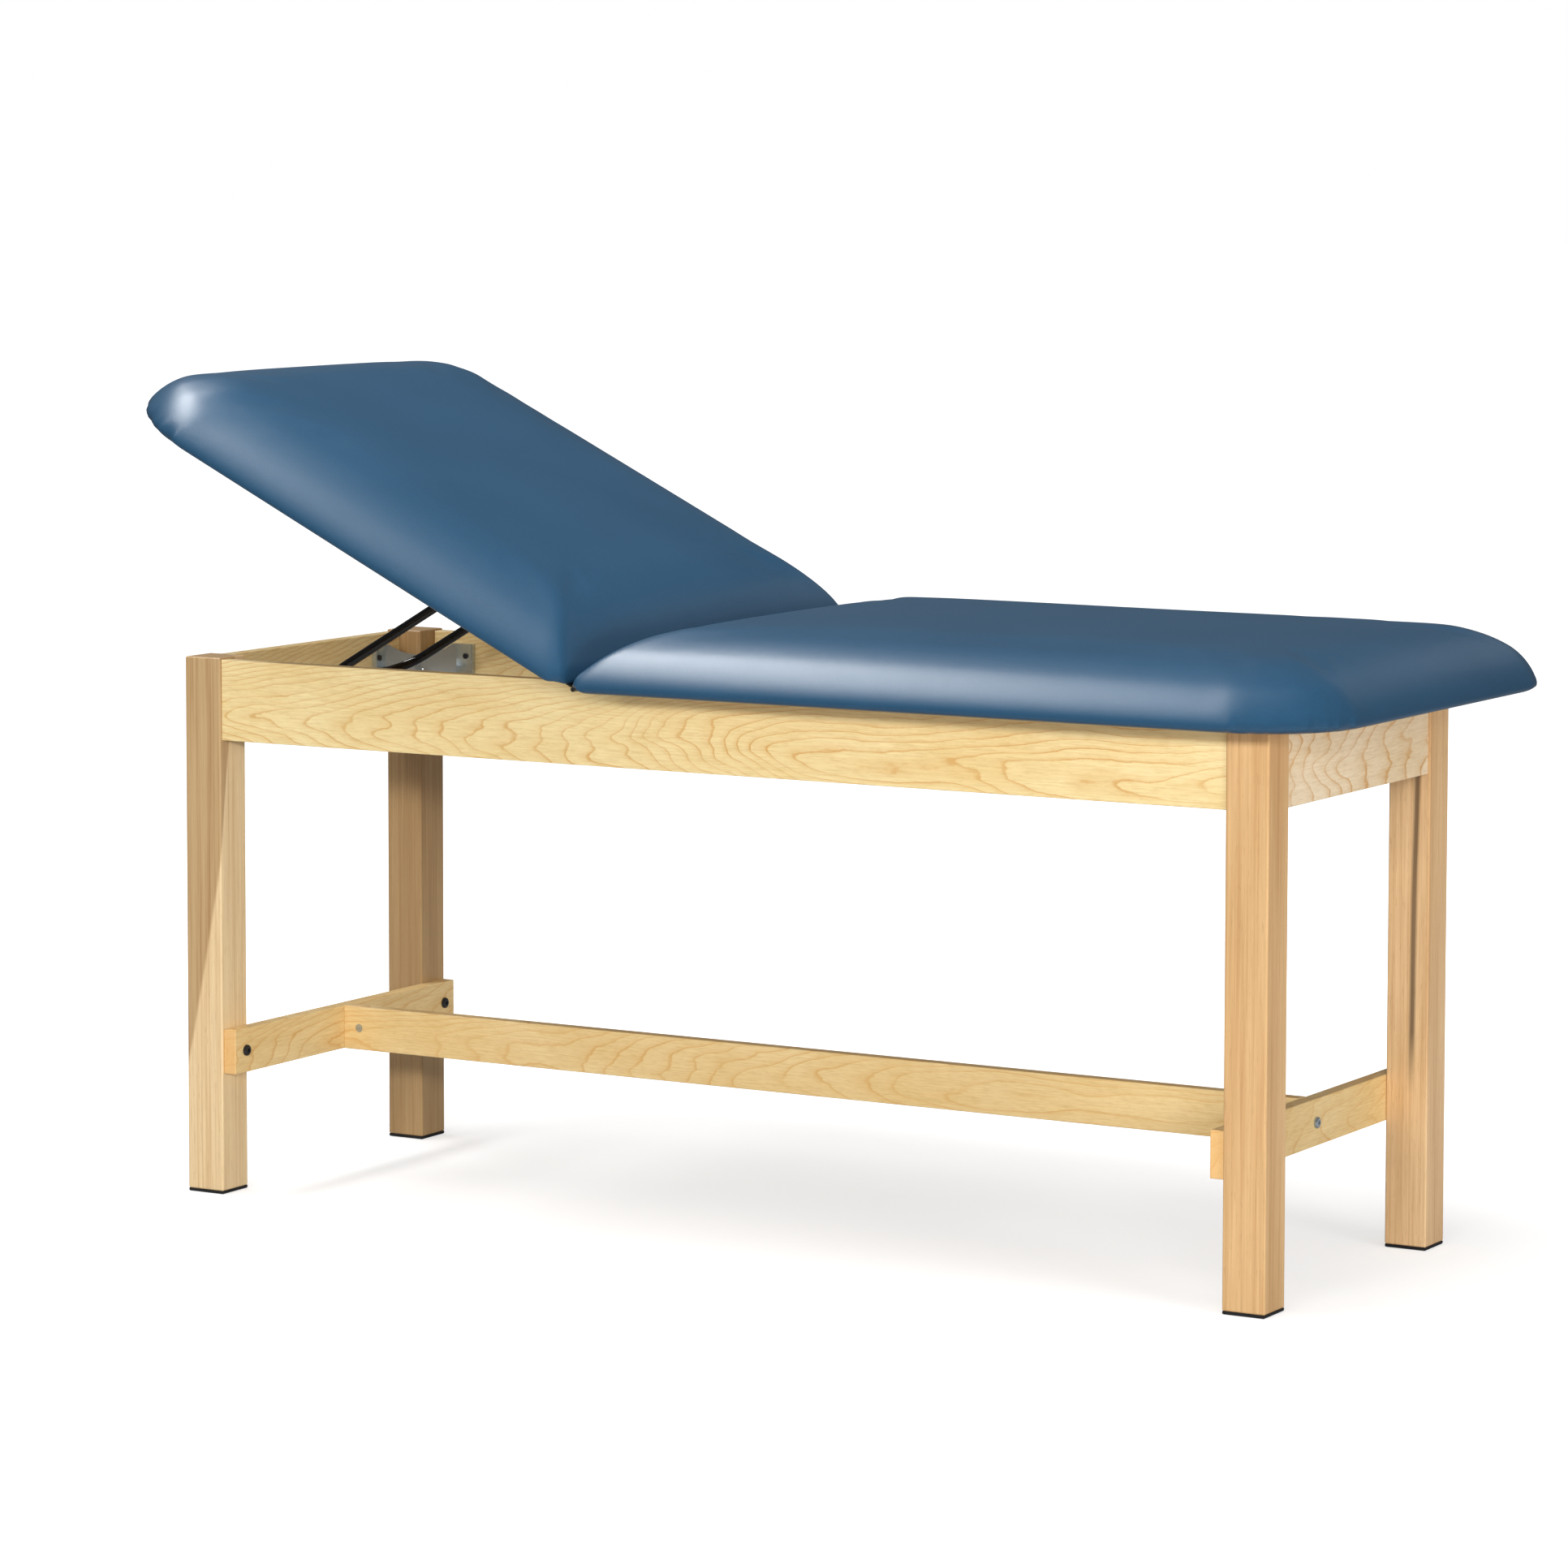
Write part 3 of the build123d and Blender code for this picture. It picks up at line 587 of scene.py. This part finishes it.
def pad_block(name, ends, half_width, heights, rake, far_round, hinge_round):
    """A block with rounded upright corners, whose hinge end leans back by the rake."""
    start, end = ends
    low, high = heights
    middle = (start + end) / 2

    def upright(edge):
        return abs(edge.verts[0].co.z - edge.verts[1].co.z) > 0.5 * (high - low)

    bpy.ops.object.select_all(action="DESELECT")
    bpy.ops.mesh.primitive_cube_add(
        size=1.0,
        location=(middle, 0, (low + high) / 2),
        scale=(end - start, 2 * half_width, high - low),
    )
    block = bpy.context.object
    block.name = name
    bpy.ops.object.transform_apply(location=True, rotation=True, scale=True)
    bpy.ops.object.mode_set(mode="EDIT")
    bpy.ops.mesh.select_mode(type="EDGE")
    select_where(lambda e: all(v.co.x < middle and v.co.z > low + 1e-4 for v in e.verts))
    bpy.ops.transform.translate(value=(rake, 0, 0))
    select_where(lambda e: upright(e) and edge_middle(e).x > middle)
    bpy.ops.mesh.bevel(offset=far_round, segments=14, affect="EDGES")
    select_where(lambda e: upright(e) and edge_middle(e).x < middle - 0.2)
    bpy.ops.mesh.bevel(offset=hinge_round, segments=5, affect="EDGES")
    bpy.ops.object.mode_set(mode="OBJECT")
    return block


def side_fall(inward):
    """How far the pad's top lies below its shoulder, at a distance inward from its side."""
    if inward < roll_end:
        turned = 1 - max(inward, thin_edge) / roll_radius
        return shoulder - pad_low - roll_radius * math.sqrt(1 - turned * turned)
    return dome_depth * (1 - min(1.0, inward / dome_reach)) ** 2


def crowned_height(x, y, reach):
    """Height of the pad's top: crowned in the middle and rolled off all round."""
    middle = (pad_gap + reach) / 2
    half_length = (reach - pad_gap) / 2
    half_width = pad_width / 2 + cover_spare
    past_end = max(0.0, x - (reach - corner_round))
    past_side = abs(y) - (half_width - corner_round)
    if past_end > 0:
        inward = corner_round - math.hypot(past_end, max(past_side, 0.0))
    else:
        inward = half_width - abs(y)
    from_hinge = max(0.0, x - pad_gap - hinge_rake)
    hinge_fall = hinge_dome_depth * (1 - min(1.0, from_hinge / dome_reach)) ** 2.2
    fall = (side_fall(inward) ** 4 + hinge_fall ** 4) ** 0.25
    along = min(1.0, abs(x - middle) / half_length)
    across = min(1.0, abs(y) / half_width)
    rise = crown * (1 - along ** 4) * (1 - across ** 3)
    return max(shoulder + rise - fall, pad_low + least_pad)


def crown_over(piece, reach):
    """Lifts a remeshed block's top to the crowned height, draws its sides in a little and
    bulges its far end."""
    middle = (pad_gap + reach) / 2
    half_length = (reach - pad_gap) / 2
    for vertex in piece.data.vertices:
        place = vertex.co
        share = min(1.0, max(0.0, (place.z - pad_low) / pad_wall))
        height = crowned_height(place.x, place.y, reach)
        place.z = pad_low + share * (height - pad_low)
        lift = min(1.0, max(0.0, (place.z - pad_low) / shoulder))
        along = (place.x - middle) / half_length
        across = place.y / (pad_width / 2)
        place.y -= side_draw * lift * across * max(0.0, 1 - along ** 4)
        place.x += end_bulge * lift * max(0.0, along) * max(0.0, 1 - across ** 4)


def swell(piece):
    """Blows the cover up as cloth, held at its stapled bottom edge, and tempers how far it goes:
    not at all beside the staples, and nowhere more than the limit."""
    start = [v.co.copy() for v in piece.data.vertices]
    cloth = piece.modifiers.new("cloth", "CLOTH")
    cloth.settings.quality = 4
    cloth.settings.mass = 0.4
    cloth.settings.tension_stiffness = 20
    cloth.settings.compression_stiffness = 20
    cloth.settings.shear_stiffness = 10
    cloth.settings.bending_stiffness = 6
    cloth.settings.use_pressure = True
    cloth.settings.uniform_pressure_force = 4.0
    cloth.settings.vertex_group_mass = "stapled"
    cloth.settings.effector_weights.gravity = 0
    cloth.collision_settings.use_self_collision = False
    scene = bpy.context.scene
    for number in range(1, 21):
        scene.frame_set(number)
    apply_modifiers(piece)
    scene.frame_set(1)
    for vertex, before in zip(piece.data.vertices, start):
        moved = vertex.co - before
        free = min(1.0, max(0.0, (before.z - pad_low - stapled_height) / swell_fade))
        vertex.co = before + moved * (free * swell_limit / (swell_limit + moved.length))


def make_cushion(name, reach):
    """One cushion at the hinge line, hollow below where its board lies, and without its lip
    at the hinge end, where it passes over the aprons."""
    half_width = pad_width / 2
    piece = pad_block(
        name,
        (pad_gap, reach + cover_spare),
        half_width + cover_spare,
        (pad_low, pad_low + pad_wall),
        hinge_rake,
        corner_round,
        hinge_corner_round,
    )
    remesh = piece.modifiers.new("remesh", "REMESH")
    remesh.mode = "VOXEL"
    remesh.voxel_size = remesh_size
    apply_modifiers(piece)
    crown_over(piece, reach + cover_spare)
    for vertex in piece.data.vertices:
        if vertex.co.x < board_start + lip_relief:
            vertex.co.z = max(vertex.co.z, lip_clearance)
    held = piece.vertex_groups.new(name="stapled")
    low_rows = [v.index for v in piece.data.vertices if v.co.z < pad_low + stapled_height]
    held.add(low_rows, 1.0, "REPLACE")
    swell(piece)
    smooth = piece.modifiers.new("smooth", "SMOOTH")
    smooth.vertex_group = "stapled"
    smooth.invert_vertex_group = True
    smooth.factor = 0.5
    smooth.iterations = 3
    finer = piece.modifiers.new("finer", "SUBSURF")
    finer.levels = 1
    finer.render_levels = 1
    apply_modifiers(piece)
    pocket = pad_block(
        name + "_pocket",
        (board_start - board_slack, reach - wall_inset + board_slack),
        half_width - wall_inset + board_slack,
        (pad_low - 0.02, board_high + 0.0002),
        0.0,
        corner_round - wall_inset,
        board_hinge_round,
    )
    cutter = piece.modifiers.new("pocket", "BOOLEAN")
    cutter.object = pocket
    cutter.operation = "DIFFERENCE"
    cutter.solver = "EXACT"
    apply_modifiers(piece)
    bpy.data.objects.remove(pocket)
    bpy.ops.object.shade_smooth_by_angle(angle=math.radians(50))
    return piece


def place_on_frame(piece, raised):
    """Moves a piece made at the hinge line into place, turned and lifted for the backrest."""
    to_board = Matrix.Translation((0, 0, board_low - hinge_line.z))
    turn = Matrix.Identity(4)
    if raised:
        turn = Matrix.Rotation(backrest_lift, 4, "Y")
        to_board = to_board @ Matrix.Rotation(math.pi, 4, "Z")
    piece.data.transform(Matrix.Translation(hinge_line) @ turn @ to_board)
    piece.matrix_world = Matrix.Identity(4)


def coated_fabric(name):
    """Coated fabric: a smooth satin skin with a very fine hide grain."""
    material, tree, shader = new_material(name)
    place = node(tree, "TexCoord", {}).outputs["Object"]
    cells = node(
        tree,
        "TexVoronoi",
        {"Vector": place, "Scale": 900.0, "Randomness": 1.0},
        feature="DISTANCE_TO_EDGE",
    ).outputs["Distance"]
    grain = node(tree, "MapRange", {"Value": cells, "From Max": 0.25}).outputs["Result"]
    broad = noise(tree, stretched(tree, place, (5, 5, 5)), 3.0)
    fine = noise(tree, stretched(tree, place, (260, 260, 260)), 3.0)
    tone = ramp(tree, broad, [(0.3, srgb(34, 70, 97)), (0.7, srgb(37, 74, 102))])
    speck = ramp(tree, fine, [(0.3, srgb(244, 244, 244)), (0.7, WHITE)])
    tree.links.new(mix(tree, 1.0, tone, speck, "MULTIPLY"), shader.inputs["Base Color"])
    shader.inputs["Roughness"].default_value = 0.37
    shader.inputs["Specular IOR Level"].default_value = 0.5
    skin = math_node(tree, "ADD", grain, math_node(tree, "MULTIPLY", fine, 0.6))
    made = node(tree, "Bump", {"Height": skin, "Strength": 0.12, "Distance": 0.0002})
    tree.links.new(made.outputs["Normal"], shader.inputs["Normal"])
    return material


cover = coated_fabric("slate_blue_cover")
for name, node_name, body, reach, raised in (
    ("seat_pad", "seat_cushion", "frame", seat_reach, False),
    ("backrest_pad", "backrest_cushion", "backrest", backrest_reach, True),
):
    piece = make_cushion(name, reach)
    place_on_frame(piece, raised)
    piece.data.materials.clear()
    piece.data.materials.append(cover)
    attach(piece, body)
    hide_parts(node_name)


# Lights. Two soft boxes high over the head end roll a highlight along the pads' edges. One from
# above, one low at the foot end and one in front light the wood without showing in the cover,
# a weak one behind rims the pads, and a pale sky fills the rest.
def soft_box(name, place, target, size, power, on_matt=True, in_gloss=True):
    """A rectangular area light aimed at a point, which can be kept off matt surfaces or out of
    reflections."""
    data = bpy.data.lights.new(name, "AREA")
    data.shape = "RECTANGLE"
    data.size, data.size_y = size
    data.energy = power
    lamp = bpy.data.objects.new(name, data)
    bpy.context.scene.collection.objects.link(lamp)
    lamp.location = place
    aim = Vector(target) - Vector(place)
    lamp.rotation_euler = aim.to_track_quat("-Z", "Y").to_euler()
    lamp.visible_diffuse = on_matt
    lamp.visible_glossy = in_gloss


soft_box("key_box", (-2.1, -0.5, 4.0), (0.0, -0.2, 0.7), (3.2, 0.7), 80)
soft_box("sheen_box", (-2.1, -0.5, 4.1), (0.0, -0.2, 0.7), (3.2, 0.7), 100, on_matt=False)
soft_box("top_box", (0.3, -0.6, 4.2), (0.0, 0.0, 0.6), (3.0, 1.8), 112, in_gloss=False)
soft_box("foot_box", (4.6, -1.6, 1.1), (0.5, 0, 0.5), (1.6, 0.8), 80, in_gloss=False)
soft_box("front_box", (2.0, -5.4, 1.9), (0.6, 0, 0.5), (5.0, 0.4), 235, in_gloss=False)
soft_box("back_box", (1.0, 4.4, 2.6), (0.6, 0, 0.7), (2.4, 0.5), 3)

sky_on_matt = 0.25
sky_in_gloss = 0.12
world = bpy.data.worlds.new("studio")
bpy.context.scene.world = world
world.use_nodes = True
sky = world.node_tree
background = sky.nodes["Background"]
path = node(sky, "LightPath", {})
dim = node(
    sky,
    "MapRange",
    {"Value": path.outputs["Is Glossy Ray"], "To Min": sky_on_matt, "To Max": sky_in_gloss},
).outputs["Result"]
seen = node(
    sky,
    "Mix",
    {"Factor": path.outputs["Is Camera Ray"], 2: dim, 3: 1.0},
    data_type="FLOAT",
)
sky.links.new(seen.outputs[0], background.inputs["Strength"])
background.inputs["Color"].default_value = WHITE
bpy.context.scene.view_settings.view_transform = "Standard"
